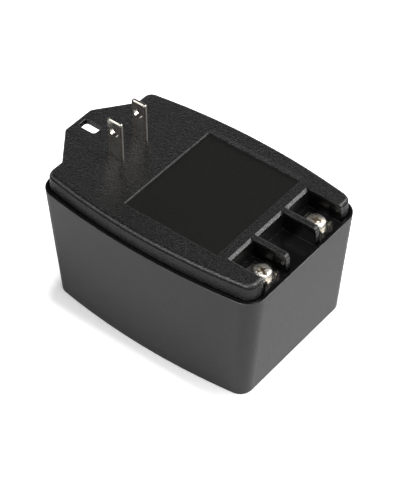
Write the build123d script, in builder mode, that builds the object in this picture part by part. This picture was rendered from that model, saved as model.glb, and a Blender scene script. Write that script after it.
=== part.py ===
from build123d import *
import math
import os

os.makedirs("parts", exist_ok=True)

# Plug in transformer, drawn lying on its back with the plug blades pointing up (+Z).
# The origin is the middle of the case's flat back. The screw terminals are at +X, the ear is at -X.
# All sizes are in millimetres and all angles in degrees.

# Case, a tapered tub
rim_length = 93.7
rim_width = 66.9
rim_bow = 4.0
rim_corner = 7.0
end_taper = 4.25
side_taper = 1.55
foot_bow = 3.5
foot_corner = 5.0
case_height = 48.0
case_wall = 2.5
case_floor = 2.5
foot_edge = 0.4
rim_edge = 0.3
lip_wall = 1.3
lip_corner = 4.8
rabbet_depth = 3.4

# Cover, the moulding that faces the wall outlet
end_gap = 0.6
side_gap = 0.25
skirt_corner = 4.0
skirt_draft = 0.35
skirt_wall = 2.0
step_width = 0.3
step_depth = 1.45
cover_edge = 1.2
cover_rise = 6.4
panel_wall = 2.5

# Shallow recess in the cover's face
recess_side = 10.75
recess_blade_gap = 17.3
recess_bay_gap = 4.5
recess_depth = 0.4

# Ear with its slotted hole
ear_reach = 7.4
ear_end_width = 13.5
ear_root_width = 39.2
ear_thickness = 2.3
ear_corner = 1.6
ear_edge = 0.5
slot_length = 7.5
slot_width = 4.4
slot_setback = 5.7
slot_corner = 1.2

# Terminal bays
bay_margin = 7.85
bay_wall = 2.0
bay_floor = 2.0
bay_bevel = 0.9
screw_bay_width = 12.3
fin = 2.1

# Screw terminals, set out from the case's end
terminal_setback = 3.55
plate_outer_reach = 4.3
plate_inner_reach = 5.6
plate_gap = 2.6
terminal_side = 5.7
plate_thickness = 0.8
plate_width = 7.6
wire_ear_width = 1.3
wire_ear_height = 1.2
tail_width = 4.0
tail_depth = 5.2
tail_hole = 1.6
tail_slot_gap = 0.1
head_diameter = 6.8
head_height = 2.4
head_crown = 0.9
thread_diameter = 3.5
screw_length = 7.0
screw_turn = 25
thread_gap = 0.05
cross_span = 3.6
cross_width = 1.0
cross_depth = 1.5
cross_taper = 12
driver_slot_width = 1.1
driver_slot_depth = 0.9
boss_diameter = 6.6
boss_floor = 1.0
screw_end_gap = 1.0

# Plug blades, set out from the case's other end
blade_setback = 16.05
blade_spacing = 12.7
blade_width = 6.35
blade_thickness = 1.52
blade_reach = 16.4
blade_hole = 3.7
blade_hole_height = 11.5
blade_corner = 1.1
blade_coin = 0.45
blade_slot_gap = 0.05
shoulder_width = 9.0
shoulder_height = 2.2
blade_tail_width = 4.6
blade_tail_length = 5.0

# Retainer that traps the blades' shoulders, with its heat staked posts
retainer_width = 9.4
retainer_thickness = 1.5
retainer_corner = 1.0
retainer_gap = 0.1
stake_offset = 11.4
stake_margin = 2.6
stake_diameter = 2.6
stake_head = 4.2
stake_head_height = 0.9
stake_taper = 30

# Laminated core, an E stack and an I stack welded edge to edge
core_end_gap = 0.3
core_side_space = 7.2
weld_radius = 0.9
weld_depth = 0.5

# Ribs and posts that locate the core
core_clearance = 0.3
post_diameter = 5.5
post_inset = 6.0
post_gap = 0.15
rib_thickness = 2.0
side_rib_height = 26.0
side_rib_inset = 8.5
end_rib_height = 20.0
end_rib_inset = 6.25

# Coil former with two winding chambers
former_clearance = 0.3
former_wall = 1.0
flange_thickness = 1.0
coil_floor_gap = 2.0
coil_panel_gap = 2.4
former_corner = 1.0
rail_width = 3.6
rail_end_gap = 2.35
rail_height = 3.0
rail_gap = 0.3
pin_diameter = 0.8
pin_height = 1.9
pin_inset = 3.0
pin_pitch = 7.0
pin_sink = 2.0

# Windings and their outer wraps
winding_gap = 0.05
winding_inset = 0.9
winding_corner = 3.0
tape_thickness = 0.4

# Thermal cutoff in its sleeve, on top of the core's leg between the coil and the blades
cutoff_diameter = 4.0
cutoff_length = 11.0
cutoff_nose = 2.0
cutoff_gap = 1.2
cutoff_wire = 1.0
sleeve_gap = 0.1
sleeve_wall = 0.6
sleeve_length = 15.0

# Insulated leads
lead_diameter = 1.4
lead_gap = 0.6
lead_bend = 1.8
lead_lift = 1.9
lead_seat = 1.0
lead_run = 2.5

# Heights that follow from the sizes above
cover_top = case_height + cover_rise
seat_z = case_height - rabbet_depth
step_z = cover_top - step_depth
panel_under = cover_top - panel_wall
bay_floor_z = seat_z + bay_floor
plate_top = bay_floor_z + plate_thickness
head_top = plate_top + head_height
screw_end = plate_top - screw_length
tail_end_z = seat_z - tail_depth
tip_z = cover_top + blade_reach
shoulder_z = panel_under - shoulder_height
retainer_z = shoulder_z - retainer_thickness
blade_tail_z = retainer_z - blade_tail_length
flange_base = case_floor + coil_floor_gap
flange_height = panel_under - coil_panel_gap - flange_base
core_top = seat_z - lead_diameter - 2 * lead_gap
coil_overhang = flange_base + flange_height - core_top
core_base = flange_base + coil_overhang
core_stack = core_top - core_base
core_middle = core_base + core_stack / 2

# Outlines that follow
foot_length = rim_length - 2 * end_taper
foot_width = rim_width - 2 * side_taper
cover_length = rim_length - 2 * (lip_wall + end_gap)
cover_width = rim_width - 2 * (lip_wall + side_gap)
panel_inset = skirt_draft + step_width
cavity_inset = skirt_draft + skirt_wall
beyond = rim_length

# Terminal bays and screw terminals, counted inwards from the case's end
plate_outer = rim_length / 2 - terminal_setback
screw_center = plate_outer - plate_outer_reach
plate_inner = screw_center - plate_inner_reach
bay_back = plate_inner - plate_gap
bay_inner = bay_back - bay_wall
screw_bay_outer = rim_width / 2 - rim_bow - bay_margin
screw_bay_inner = screw_bay_outer - screw_bay_width
screw_bay_center = (screw_bay_inner + screw_bay_outer) / 2
middle_bay_width = 2 * (screw_bay_inner - fin)
terminal_offset = screw_bay_inner + terminal_side

# Blades and ear, counted inwards from the other end
blade_center = blade_setback - rim_length / 2
ear_end = rim_length / 2 + ear_reach
ear_root = cover_length / 2 - panel_inset
ear_hold = ear_root - cover_edge - ear_edge
ear_flare = (ear_root_width - ear_end_width) / (ear_end - ear_root)
ear_hold_width = ear_root_width + ear_flare * (ear_root - ear_hold)
slot_center = slot_setback - ear_end
recess_start = blade_center + recess_blade_gap
recess_end = bay_back - recess_bay_gap
retainer_length = 2 * (stake_offset + stake_margin)

# Core, in the proportions of a lamination cut without waste: six legs long, with a middle leg of two
core_half = bay_inner - core_end_gap
core_length = 2 * core_half
core_leg = core_length / 6
core_depth = rim_width - 2 * (case_wall + core_side_space)
core_window = core_depth - 2 * core_leg
window_center = core_half - 1.5 * core_leg

# Coil former, windings and pins
former_inner_width = 2 * core_leg + 2 * former_clearance
former_inner_height = core_stack + 2 * former_clearance
former_outer_width = former_inner_width + 2 * former_wall
former_outer_height = former_inner_height + 2 * former_wall
former_length = core_window - 2 * former_clearance
flange_width = 2 * (core_half - core_leg - former_clearance)
chamber = (former_length - 3 * flange_thickness) / 2
winding_width = flange_width - 2 * winding_inset
winding_height = flange_height - 2 * winding_inset
rail_base = core_top + rail_gap
rail_top = rail_base + rail_height
pin_y = former_length / 2 + rail_width / 2
post_x = core_half - post_inset
post_y = pin_y + lead_diameter / 2 + post_gap + post_diameter / 2
rail_length = 2 * (post_x - post_diameter / 2 - rail_end_gap)
pin_outer = rail_length / 2 - pin_inset
pin_inner = pin_outer - pin_pitch
side_rib_offset = core_half - side_rib_inset
end_rib_offset = core_window / 2 - end_rib_inset

# Thermal cutoff and leads
sleeve_bore = cutoff_diameter / 2 + sleeve_gap
sleeve_radius = sleeve_bore + sleeve_wall
cutoff_x = -flange_width / 2 - cutoff_gap - sleeve_radius
cutoff_z = core_top + sleeve_radius
cutoff_start = -cutoff_length / 2
lead_z = rail_top + lead_seat
upper_lead_z = lead_z + lead_lift

SIDES = (("left", -1), ("right", 1))


def bowed_outline(length, width, bow, corner, inset=0.0):
    """Rounded rectangle whose two long sides bulge out by bow, drawn in by inset all round."""
    side = width / 2 - bow
    with BuildLine() as outline:
        ThreePointArc((-length / 2, -side), (0, -width / 2), (length / 2, -side))
        Line((length / 2, -side), (length / 2, side))
        ThreePointArc((length / 2, side), (0, width / 2), (-length / 2, side))
        Line((-length / 2, side), (-length / 2, -side))
    make_face(outline.edges())
    if inset:
        offset(amount=-inset, kind=Kind.INTERSECTION, mode=Mode.REPLACE)
    corners = vertices()
    fillet(corners, radius=corner - inset)


def foot_outline(inset=0.0):
    """Outline of the case at its back."""
    bowed_outline(foot_length, foot_width, foot_bow, foot_corner, inset)


def rim_outline(inset=0.0):
    """Outline of the case at its rim."""
    bowed_outline(rim_length, rim_width, rim_bow, rim_corner, inset)


def cover_outline(inset=0.0):
    """Outline of the cover at its seat, which the rest of the cover follows at an inset."""
    bowed_outline(cover_length, cover_width, rim_bow, skirt_corner, inset)


def save(piece, name):
    """Name a finished piece and write its file."""
    piece.part.label = name
    export_step(piece.part, f"parts/{name}.step")


# Ribs that stand in the tub and locate the core, trimmed to the tub's tapered inside
with BuildPart() as core_ribs:
    with BuildSketch(Plane.XY.offset(case_floor)):
        with Locations(*[(i * post_x, j * post_y) for i in (-1, 1) for j in (-1, 1)]):
            Circle(post_diameter / 2)
    extrude(amount=core_base - case_floor)
    side_reach = (rim_width - core_depth) / 2 - core_clearance
    side_middle = core_depth / 2 + core_clearance + side_reach / 2
    with BuildSketch(Plane.XY.offset(case_floor)):
        with Locations(*[(i * side_rib_offset, j * side_middle) for i in (-1, 1) for j in (-1, 1)]):
            Rectangle(rib_thickness, side_reach)
    extrude(amount=side_rib_height)
    end_reach = (rim_length - core_length) / 2 - core_clearance
    end_middle = core_half + core_clearance + end_reach / 2
    with BuildSketch(Plane.XY.offset(case_floor)):
        with Locations(*[(i * end_middle, j * end_rib_offset) for i in (-1, 1) for j in (-1, 1)]):
            Rectangle(end_reach, rib_thickness)
    extrude(amount=end_rib_height)
    with BuildSketch(Plane.XY.offset(case_floor)):
        foot_outline(case_wall)
    with BuildSketch(Plane.XY.offset(case_height)):
        rim_outline(case_wall)
    loft(ruled=True, mode=Mode.INTERSECT)

# Case: tapered tub with a rabbet round its rim for the cover
with BuildPart() as case_shell:
    with BuildSketch():
        foot_outline()
    with BuildSketch(Plane.XY.offset(case_height)):
        rim_outline()
    loft(ruled=True)
    fillet(faces().sort_by(Axis.Z)[0].edges(), radius=foot_edge)
    fillet(faces().sort_by(Axis.Z)[-1].edges(), radius=rim_edge)
    with BuildSketch(Plane.XY.offset(case_floor)):
        foot_outline(case_wall)
    with BuildSketch(Plane.XY.offset(case_height)):
        rim_outline(case_wall)
    loft(ruled=True, mode=Mode.SUBTRACT)
    with BuildSketch(Plane.XY.offset(seat_z)):
        bowed_outline(rim_length - 2 * lip_wall, rim_width - 2 * lip_wall, rim_bow, lip_corner)
    extrude(amount=rabbet_depth, mode=Mode.SUBTRACT)
    add(core_ribs.part)
save(case_shell, "case_shell")

# Ear of the cover, a plate with a slotted hole and rounded upper edges
with BuildPart() as ear:
    with BuildSketch(Plane.XY.offset(cover_top)):
        with BuildLine():
            Polyline(
                (-ear_hold, ear_hold_width / 2),
                (-ear_end, ear_end_width / 2),
                (-ear_end, -ear_end_width / 2),
                (-ear_hold, -ear_hold_width / 2),
                close=True,
            )
        make_face()
        end_corners = vertices().group_by(Axis.X)[0]
        fillet(end_corners, radius=ear_corner)
        with Locations((slot_center, 0)):
            RectangleRounded(slot_length, slot_width, slot_corner, mode=Mode.SUBTRACT)
    extrude(amount=-ear_thickness)
    upper_edges = faces().sort_by(Axis.Z)[-1].edges().sort_by(Axis.X)
    fillet(upper_edges[:-1], radius=ear_edge)

# Cover: skirt, stepped panel, ear, terminal bays, recess, posts and stakes
with BuildPart() as cover:
    with BuildSketch(Plane.XY.offset(seat_z)):
        cover_outline()
    with BuildSketch(Plane.XY.offset(step_z)):
        cover_outline(skirt_draft)
    loft(ruled=True)
    with BuildSketch(Plane.XY.offset(step_z)):
        cover_outline(panel_inset)
    extrude(amount=step_depth)
    fillet(faces().sort_by(Axis.Z)[-1].edges(), radius=cover_edge)
    add(ear.part)

    # Inside of the cover, up to the back wall of the bays
    with BuildSketch(Plane.XY.offset(seat_z)):
        cover_outline(cavity_inset)
        with Locations((bay_inner + beyond / 2, 0)):
            Rectangle(beyond, beyond, mode=Mode.SUBTRACT)
    extrude(amount=panel_under - seat_z, mode=Mode.SUBTRACT)

    # Cored out corners beside the bays
    pocket_y = screw_bay_outer + bay_wall
    for side in (-1, 1):
        with BuildSketch(Plane.XY.offset(seat_z)):
            cover_outline(cavity_inset)
            with Locations((bay_back + beyond / 2, side * (pocket_y + beyond / 2))):
                Rectangle(beyond, beyond, mode=Mode.INTERSECT)
        extrude(amount=panel_under - seat_z, mode=Mode.SUBTRACT)

    # Three terminal bays, open to the end of the case
    with BuildSketch(Plane.XY.offset(bay_floor_z)):
        with Locations((bay_back + beyond / 2, 0)):
            Rectangle(beyond, middle_bay_width)
        with Locations(*[(bay_back + beyond / 2, side * screw_bay_center) for side in (-1, 1)]):
            Rectangle(beyond, screw_bay_width)
    extrude(amount=cover_top, mode=Mode.SUBTRACT)
    panel_edges = faces().filter_by(Axis.Z).sort_by(Axis.Z)[-1].edges().filter_by(Axis.Y)
    back_edges = panel_edges.filter_by_position(Axis.X, bay_inner, plate_inner)
    chamfer(back_edges, length=bay_bevel)

    # Shallow recess in the face
    with BuildSketch(Plane.XY.offset(cover_top)):
        with Locations(((recess_start + recess_end) / 2, 0)):
            Rectangle(recess_end - recess_start, rim_width - 2 * recess_side)
    extrude(amount=-recess_depth, mode=Mode.SUBTRACT)

    # Posts that hold the core down and stakes that hold the retainer
    with BuildSketch(Plane.XY.offset(core_top)):
        with Locations(*[(i * post_x, j * post_y) for i in (-1, 1) for j in (-1, 1)]):
            Circle(post_diameter / 2)
    extrude(amount=panel_under - core_top)
    with BuildSketch(Plane.XY.offset(retainer_z)):
        with Locations((blade_center, stake_offset), (blade_center, -stake_offset)):
            Circle(stake_diameter / 2)
    extrude(amount=panel_under - retainer_z)
    with BuildSketch(Plane.XY.offset(retainer_z)):
        with Locations((blade_center, stake_offset), (blade_center, -stake_offset)):
            Circle(stake_head / 2)
    extrude(amount=-stake_head_height, taper=stake_taper)

    # Slots for the blades
    with BuildSketch(Plane.XY.offset(cover_top)):
        with Locations((blade_center, blade_spacing / 2), (blade_center, -blade_spacing / 2)):
            Rectangle(blade_width + 2 * blade_slot_gap, blade_thickness + 2 * blade_slot_gap)
    extrude(amount=-panel_wall, mode=Mode.SUBTRACT)

    # Bosses under the bays, bored for the screws, and slots for the terminal tails
    bore_depth = screw_length - plate_thickness + screw_end_gap
    boss_depth = bore_depth - bay_floor + boss_floor
    with BuildSketch(Plane.XY.offset(seat_z)):
        with Locations((screw_center, terminal_offset), (screw_center, -terminal_offset)):
            Circle(boss_diameter / 2)
    extrude(amount=-boss_depth)
    with BuildSketch(Plane.XY.offset(bay_floor_z)):
        with Locations((screw_center, terminal_offset), (screw_center, -terminal_offset)):
            Circle(thread_diameter / 2 + thread_gap)
    extrude(amount=-bore_depth, mode=Mode.SUBTRACT)
    with BuildSketch(Plane.XY.offset(bay_floor_z)):
        with Locations(
            (plate_inner + plate_thickness / 2, terminal_offset),
            (plate_inner + plate_thickness / 2, -terminal_offset),
        ):
            Rectangle(plate_thickness + 2 * tail_slot_gap, tail_width + 2 * tail_slot_gap)
    extrude(amount=-bay_floor, mode=Mode.SUBTRACT)
save(cover, "cover")

# Plug blades, stamped flat with a shoulder and a solder tail inside the case
for side_name, side in SIDES:
    middle = side * blade_spacing / 2
    with BuildPart() as blade:
        with BuildSketch(Plane((blade_center, middle, 0), x_dir=(1, 0, 0), z_dir=(0, -1, 0))):
            with Locations((0, (shoulder_z + tip_z) / 2)):
                Rectangle(blade_width, tip_z - shoulder_z)
            tip_corners = vertices().group_by(Axis.Z)[-1]
            fillet(tip_corners, radius=blade_corner)
            with Locations((0, shoulder_z + shoulder_height / 2)):
                Rectangle(shoulder_width, shoulder_height)
            with Locations((0, (blade_tail_z + shoulder_z) / 2)):
                Rectangle(blade_tail_width, shoulder_z - blade_tail_z)
            with Locations((0, cover_top + blade_hole_height)):
                Circle(blade_hole / 2, mode=Mode.SUBTRACT)
            with Locations((0, blade_tail_z + blade_tail_width / 2)):
                Circle(tail_hole / 2, mode=Mode.SUBTRACT)
        extrude(amount=blade_thickness / 2, both=True)
        tip_edges = edges().filter_by_position(Axis.Z, tip_z - blade_corner, tip_z)
        chamfer(tip_edges - tip_edges.filter_by(Axis.Y), length=blade_coin)
    save(blade, f"blade_{side_name}")

# Retainer plate under the blades' shoulders
with BuildPart() as blade_retainer:
    with BuildSketch(Plane.XY.offset(retainer_z)):
        with Locations((blade_center, 0)):
            RectangleRounded(retainer_width, retainer_length, retainer_corner)
        with Locations((blade_center, blade_spacing / 2), (blade_center, -blade_spacing / 2)):
            Rectangle(
                blade_tail_width + 2 * retainer_gap, blade_thickness + 2 * retainer_gap, mode=Mode.SUBTRACT
            )
        with Locations((blade_center, stake_offset), (blade_center, -stake_offset)):
            Circle(stake_diameter / 2 + retainer_gap, mode=Mode.SUBTRACT)
    extrude(amount=retainer_thickness)
save(blade_retainer, "blade_retainer")

# Screw terminals: a stamped plate with two wire ears and a solder tail, and its binding screw
for side_name, side in SIDES:
    middle = side * terminal_offset
    plate_run = plate_outer - plate_inner
    with BuildPart() as terminal_plate:
        with BuildSketch(Plane.XY.offset(bay_floor_z)):
            with Locations((plate_inner + plate_run / 2, middle)):
                Rectangle(plate_run, plate_width)
            with Locations((screw_center, middle)):
                Circle(thread_diameter / 2 + thread_gap, mode=Mode.SUBTRACT)
        extrude(amount=plate_thickness)
        ear_y = (plate_width - wire_ear_width) / 2
        with BuildSketch(Plane.XY.offset(plate_top)):
            with Locations(
                (plate_outer - plate_thickness / 2, middle + ear_y),
                (plate_outer - plate_thickness / 2, middle - ear_y),
            ):
                Rectangle(plate_thickness, wire_ear_width)
        extrude(amount=wire_ear_height)
        with BuildSketch(Plane.XY.offset(bay_floor_z)):
            with Locations((plate_inner + plate_thickness / 2, middle)):
                Rectangle(plate_thickness, tail_width)
        extrude(amount=tail_end_z - bay_floor_z)
        with BuildSketch(Plane.YZ.offset(plate_inner)):
            with Locations((middle, tail_end_z + tail_width / 2)):
                Circle(tail_hole / 2)
        extrude(amount=plate_thickness, mode=Mode.SUBTRACT)
    save(terminal_plate, f"terminal_plate_{side_name}")

    turn = side * screw_turn
    with BuildPart() as terminal_screw:
        with BuildSketch(Plane((screw_center, middle, 0), x_dir=(1, 0, 0), z_dir=(0, -1, 0))):
            with BuildLine():
                Line((0, head_top), (0, screw_end))
                Line((0, screw_end), (thread_diameter / 2, screw_end))
                Line((thread_diameter / 2, screw_end), (thread_diameter / 2, plate_top))
                Line((thread_diameter / 2, plate_top), (head_diameter / 2, plate_top))
                Line((head_diameter / 2, plate_top), (head_diameter / 2, head_top - head_crown))
                TangentArc(
                    (head_diameter / 2, head_top - head_crown),
                    (head_diameter / 2 - head_crown, head_top),
                    tangent=(0, 1),
                )
                Line((head_diameter / 2 - head_crown, head_top), (0, head_top))
            make_face()
        revolve(axis=Axis((screw_center, middle, 0), (0, 0, 1)))
        with BuildSketch(Plane.XY.offset(head_top)):
            with Locations(Location((screw_center, middle, 0), (0, 0, turn))):
                Rectangle(cross_span, cross_width)
                Rectangle(cross_width, cross_span)
        extrude(amount=-cross_depth, taper=cross_taper, mode=Mode.SUBTRACT)
        with BuildSketch(Plane.XY.offset(head_top)):
            with Locations(Location((screw_center, middle, 0), (0, 0, turn))):
                Rectangle(head_diameter, driver_slot_width)
        extrude(amount=-driver_slot_depth, mode=Mode.SUBTRACT)
    save(terminal_screw, f"terminal_screw_{side_name}")

# Core: the E stack carries the coil on its middle leg and the I stack closes it
with BuildPart() as e_core:
    with BuildSketch(Plane.XY.offset(core_base)):
        with Locations((0, -core_leg / 2)):
            Rectangle(core_length, core_depth - core_leg)
        with Locations((window_center, 0), (-window_center, 0)):
            Rectangle(core_leg, core_window, mode=Mode.SUBTRACT)
    extrude(amount=core_stack)
save(e_core, "e_core")

with BuildPart() as i_core:
    with BuildSketch(Plane.XY.offset(core_base)):
        with Locations((0, (core_window + core_leg) / 2)):
            Rectangle(core_length, core_leg)
    extrude(amount=core_stack)
save(i_core, "i_core")

# Weld beads that join the two stacks at their seam, one at each end
with BuildPart() as core_welds:
    with BuildSketch(Plane.XY.offset(core_base)):
        for end in (-1, 1):
            with Locations((end * (core_half + weld_depth - weld_radius), core_window / 2)):
                Circle(weld_radius)
        Rectangle(core_length, core_depth, mode=Mode.SUBTRACT)
    extrude(amount=core_stack)
save(core_welds, "core_welds")


def across(y):
    """Plane square to the coil's axis at y, centred on the core's middle leg, facing +Y."""
    return Plane((0, y, core_middle), x_dir=(1, 0, 0), z_dir=(0, 1, 0))


# Coil former: square tube with three flanges and a pin rail at each end
with BuildPart() as bobbin:
    with BuildSketch(across(-former_length / 2)):
        RectangleRounded(former_outer_width, former_outer_height, former_corner)
    extrude(amount=former_length)
    for place in (0, 1, 2):
        with BuildSketch(across(-former_length / 2 + place * (chamber + flange_thickness))):
            RectangleRounded(flange_width, flange_height, former_corner)
        extrude(amount=flange_thickness)
    with BuildSketch(Plane.XY.offset(rail_base)):
        with Locations((0, pin_y), (0, -pin_y)):
            Rectangle(rail_length, rail_width)
    extrude(amount=rail_height)
    with BuildSketch(across(-former_length / 2)):
        Rectangle(former_inner_width, former_inner_height)
    extrude(amount=former_length, mode=Mode.SUBTRACT)
    with BuildSketch(Plane.XY.offset(rail_top)):
        with Locations((-pin_inner, -pin_y), (-pin_outer, -pin_y), (pin_inner, pin_y), (pin_outer, pin_y)):
            Circle(pin_diameter / 2)
    extrude(amount=-pin_sink, mode=Mode.SUBTRACT)
save(bobbin, "bobbin")

# Four wiring pins pressed into the rails
with BuildPart() as bobbin_pins:
    with BuildSketch(Plane.XY.offset(rail_top - pin_sink)):
        with Locations((-pin_inner, -pin_y), (-pin_outer, -pin_y), (pin_inner, pin_y), (pin_outer, pin_y)):
            Circle(pin_diameter / 2)
    extrude(amount=pin_sink + pin_height)
save(bobbin_pins, "bobbin_pins")

# Windings, side by side on the former, each wrapped with tape
for winding_name, tape_name, start in (
    ("primary_winding", "primary_tape", -former_length / 2 + flange_thickness),
    ("secondary_winding", "secondary_tape", flange_thickness / 2),
):
    with BuildPart() as winding:
        with BuildSketch(across(start + winding_gap)):
            RectangleRounded(winding_width, winding_height, winding_corner)
            RectangleRounded(
                former_outer_width + 2 * winding_gap,
                former_outer_height + 2 * winding_gap,
                former_corner + winding_gap,
                mode=Mode.SUBTRACT,
            )
        extrude(amount=chamber - 2 * winding_gap)
    save(winding, winding_name)
    with BuildPart() as tape:
        with BuildSketch(across(start + winding_gap)):
            RectangleRounded(
                winding_width + 2 * tape_thickness,
                winding_height + 2 * tape_thickness,
                winding_corner + tape_thickness,
            )
            RectangleRounded(winding_width, winding_height, winding_corner, mode=Mode.SUBTRACT)
        extrude(amount=chamber - 2 * winding_gap)
    save(tape, tape_name)


def along_y(x, y, z):
    """Plane at a point, facing +Y."""
    return Plane((x, y, z), x_dir=(1, 0, 0), z_dir=(0, 1, 0))


# Thermal cutoff: a can that tapers to a nose, in a thin sleeve that rests on the core
with BuildPart() as thermal_cutoff:
    with BuildSketch(along_y(cutoff_x, cutoff_start, cutoff_z)):
        Circle(cutoff_diameter / 2)
    extrude(amount=cutoff_length - cutoff_nose)
    with BuildSketch(along_y(cutoff_x, cutoff_start + cutoff_length - cutoff_nose, cutoff_z)):
        Circle(cutoff_diameter / 2)
    with BuildSketch(along_y(cutoff_x, cutoff_start + cutoff_length, cutoff_z)):
        Circle(lead_diameter / 2)
    loft()
save(thermal_cutoff, "thermal_cutoff")

with BuildPart() as cutoff_sleeve:
    with BuildSketch(along_y(cutoff_x, -sleeve_length / 2, cutoff_z)):
        Circle(sleeve_radius)
        Circle(sleeve_bore, mode=Mode.SUBTRACT)
    extrude(amount=sleeve_length)
save(cutoff_sleeve, "cutoff_sleeve")


def lead(points, diameter, bend, name):
    """Round lead along straight runs joined by arcs, written as its own piece."""
    with BuildPart() as wire:
        with BuildLine() as route:
            FilletPolyline(*points, radius=bend)
        path = route.wires()[0]
        with BuildSketch(Plane(path @ 0, z_dir=path % 0)):
            Circle(diameter / 2)
        sweep(path=path)
    straight_volume = math.pi * diameter**2 / 4 * path.length
    print(name, "volume over its section times its length", round(wire.part.volume / straight_volume, 4))
    save(wire, name)


# Leads of the primary side: to the left blade, into the cutoff, and from it to the right blade
blade_face = blade_spacing / 2 + blade_thickness / 2
blade_lead_z = retainer_z - blade_tail_length / 2
outer_pin_side = pin_outer + pin_diameter / 2
inner_pin_side = pin_inner + pin_diameter / 2
lead(
    [
        (-inner_pin_side, -pin_y, lead_z),
        (-inner_pin_side - lead_lift, -pin_y, lead_z),
        (-pin_outer + lead_lift, -pin_y, upper_lead_z),
        (cutoff_x, -pin_y, upper_lead_z),
        (blade_center, -pin_y, blade_lead_z),
        (blade_center, -blade_face, blade_lead_z),
    ],
    lead_diameter,
    lead_bend,
    "primary_lead_left",
)
lead(
    [
        (-outer_pin_side, -pin_y, lead_z),
        (cutoff_x, -pin_y, lead_z),
        (cutoff_x, cutoff_start - lead_bend, cutoff_z),
        (cutoff_x, cutoff_start, cutoff_z),
    ],
    cutoff_wire,
    lead_bend / 2,
    "cutoff_lead",
)
lead(
    [
        (cutoff_x, cutoff_start + cutoff_length, cutoff_z),
        (cutoff_x, pin_y, cutoff_z),
        (blade_center, pin_y, blade_lead_z),
        (blade_center, blade_face, blade_lead_z),
    ],
    lead_diameter,
    lead_bend,
    "primary_lead_right",
)

# Leads of the secondary side: past the end of the core, under the bays, to the tails of the terminal plates
passage_x = (core_half + bay_inner) / 2
passage_z = (core_top + seat_z) / 2
rail_end = rail_length / 2 + lead_diameter / 2
cross_over_x = core_half - core_leg / 2 - lead_diameter
lead(
    [
        (outer_pin_side, pin_y, lead_z),
        (rail_end, pin_y, lead_z),
        (passage_x - lead_run, pin_y, passage_z),
        (passage_x + lead_run, terminal_offset, passage_z),
        (plate_inner, terminal_offset, passage_z),
    ],
    lead_diameter,
    lead_bend / 2,
    "secondary_lead_right",
)
lead(
    [
        (inner_pin_side, pin_y, lead_z),
        (inner_pin_side + lead_lift, pin_y, lead_z),
        (pin_outer - lead_lift, pin_y, upper_lead_z),
        (cross_over_x, pin_y, upper_lead_z),
        (cross_over_x, -pin_y, upper_lead_z),
        (passage_x - lead_run, -pin_y, passage_z),
        (passage_x + lead_run, -terminal_offset, passage_z),
        (plate_inner, -terminal_offset, passage_z),
    ],
    lead_diameter,
    lead_bend / 2,
    "secondary_lead_left",
)
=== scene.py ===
"""Plug in AC transformer: finishes, wound coils, solder and a plain studio, laid out as an add-on."""

import math

import bmesh
import bpy
import numpy as np
from mathutils import Matrix, Vector


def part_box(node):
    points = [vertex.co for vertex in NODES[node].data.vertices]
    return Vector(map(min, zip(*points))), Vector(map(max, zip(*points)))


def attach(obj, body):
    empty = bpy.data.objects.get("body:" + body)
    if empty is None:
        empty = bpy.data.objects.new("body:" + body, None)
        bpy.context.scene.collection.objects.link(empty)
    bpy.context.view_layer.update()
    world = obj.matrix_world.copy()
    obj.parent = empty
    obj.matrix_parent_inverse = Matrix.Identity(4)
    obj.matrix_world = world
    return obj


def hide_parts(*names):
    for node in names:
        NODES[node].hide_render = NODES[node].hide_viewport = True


bl_info = {
    "name": "Plug In Transformer Finishes",
    "version": (1, 0, 0),
    "blender": (4, 5, 0),
    "location": "3D View > Sidebar > Transformer",
    "description": "Finishes, coils, solder and studio for a plug in transformer with screw terminals",
    "category": "Object",
}

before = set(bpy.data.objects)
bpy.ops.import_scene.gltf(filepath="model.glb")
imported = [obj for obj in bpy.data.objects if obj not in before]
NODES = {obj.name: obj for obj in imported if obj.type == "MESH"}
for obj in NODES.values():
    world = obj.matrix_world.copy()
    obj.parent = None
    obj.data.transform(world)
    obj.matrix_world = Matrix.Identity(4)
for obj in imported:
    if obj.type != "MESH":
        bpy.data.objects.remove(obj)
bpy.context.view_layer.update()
BODY = "root"

# One millimetre in metres, and the width over which one finish passes into the next
MM = 0.001
FADE = 0.1 * MM

# Width of the camera's sensor in millimetres
SENSOR = 36.0

# Refractive index of the case's plastic, which the other plastics share, and of the cover's
PLASTIC_IOR = 1.585
COVER_IOR = 1.5

# Roughness of the case's walls and rim, of the cover's face and recess, and of its bays
WALL_ROUGHNESS, RIM_ROUGHNESS = 0.34, 0.12
COVER_ROUGHNESS, BAY_ROUGHNESS = 0.3, 0.18

# Depth of the grain in each of these places, as a share of the grain's depth
WALL_GRAIN, RIM_GRAIN = 0.7, 0.07
FACE_GRAIN, RECESS_GRAIN, BAY_GRAIN = 1.7, 0.6, 0.3

# How far under the case's top the polish of its rim starts and is full
RIM_START, RIM_FULL = 0.06 * MM, 0.02 * MM

# How far under the cover's top the bays' smooth finish is full and starts
BAY_FULL, BAY_START = 2.0 * MM, 1.0 * MM

# The raised hairline outside the recess's edge: how far out it lies, its half width and its height
HAIR_GAP, HAIR_HALF, HAIR_HEIGHT = 0.2 * MM, 0.25 * MM, 0.1 * MM

# The witness line of the mould's insert: its half width and its height
WITNESS_HALF, WITNESS_HEIGHT = 0.15 * MM, 0.02 * MM

# The brink along the recess's far side: the width over which it climbs and falls back, and its height
BRINK_CLIMB, BRINK_FALL, BRINK_HEIGHT = 0.4 * MM, 2.0 * MM, 0.16 * MM

# How far inside the recess's ends the brink starts to fade, and how far outside them it is gone
BRINK_INSIDE, BRINK_OUTSIDE = 1.0 * MM, 0.5 * MM

# How much the roughness of a moulding changes with its grain
GLOSS_SPREAD = 0.06

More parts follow.
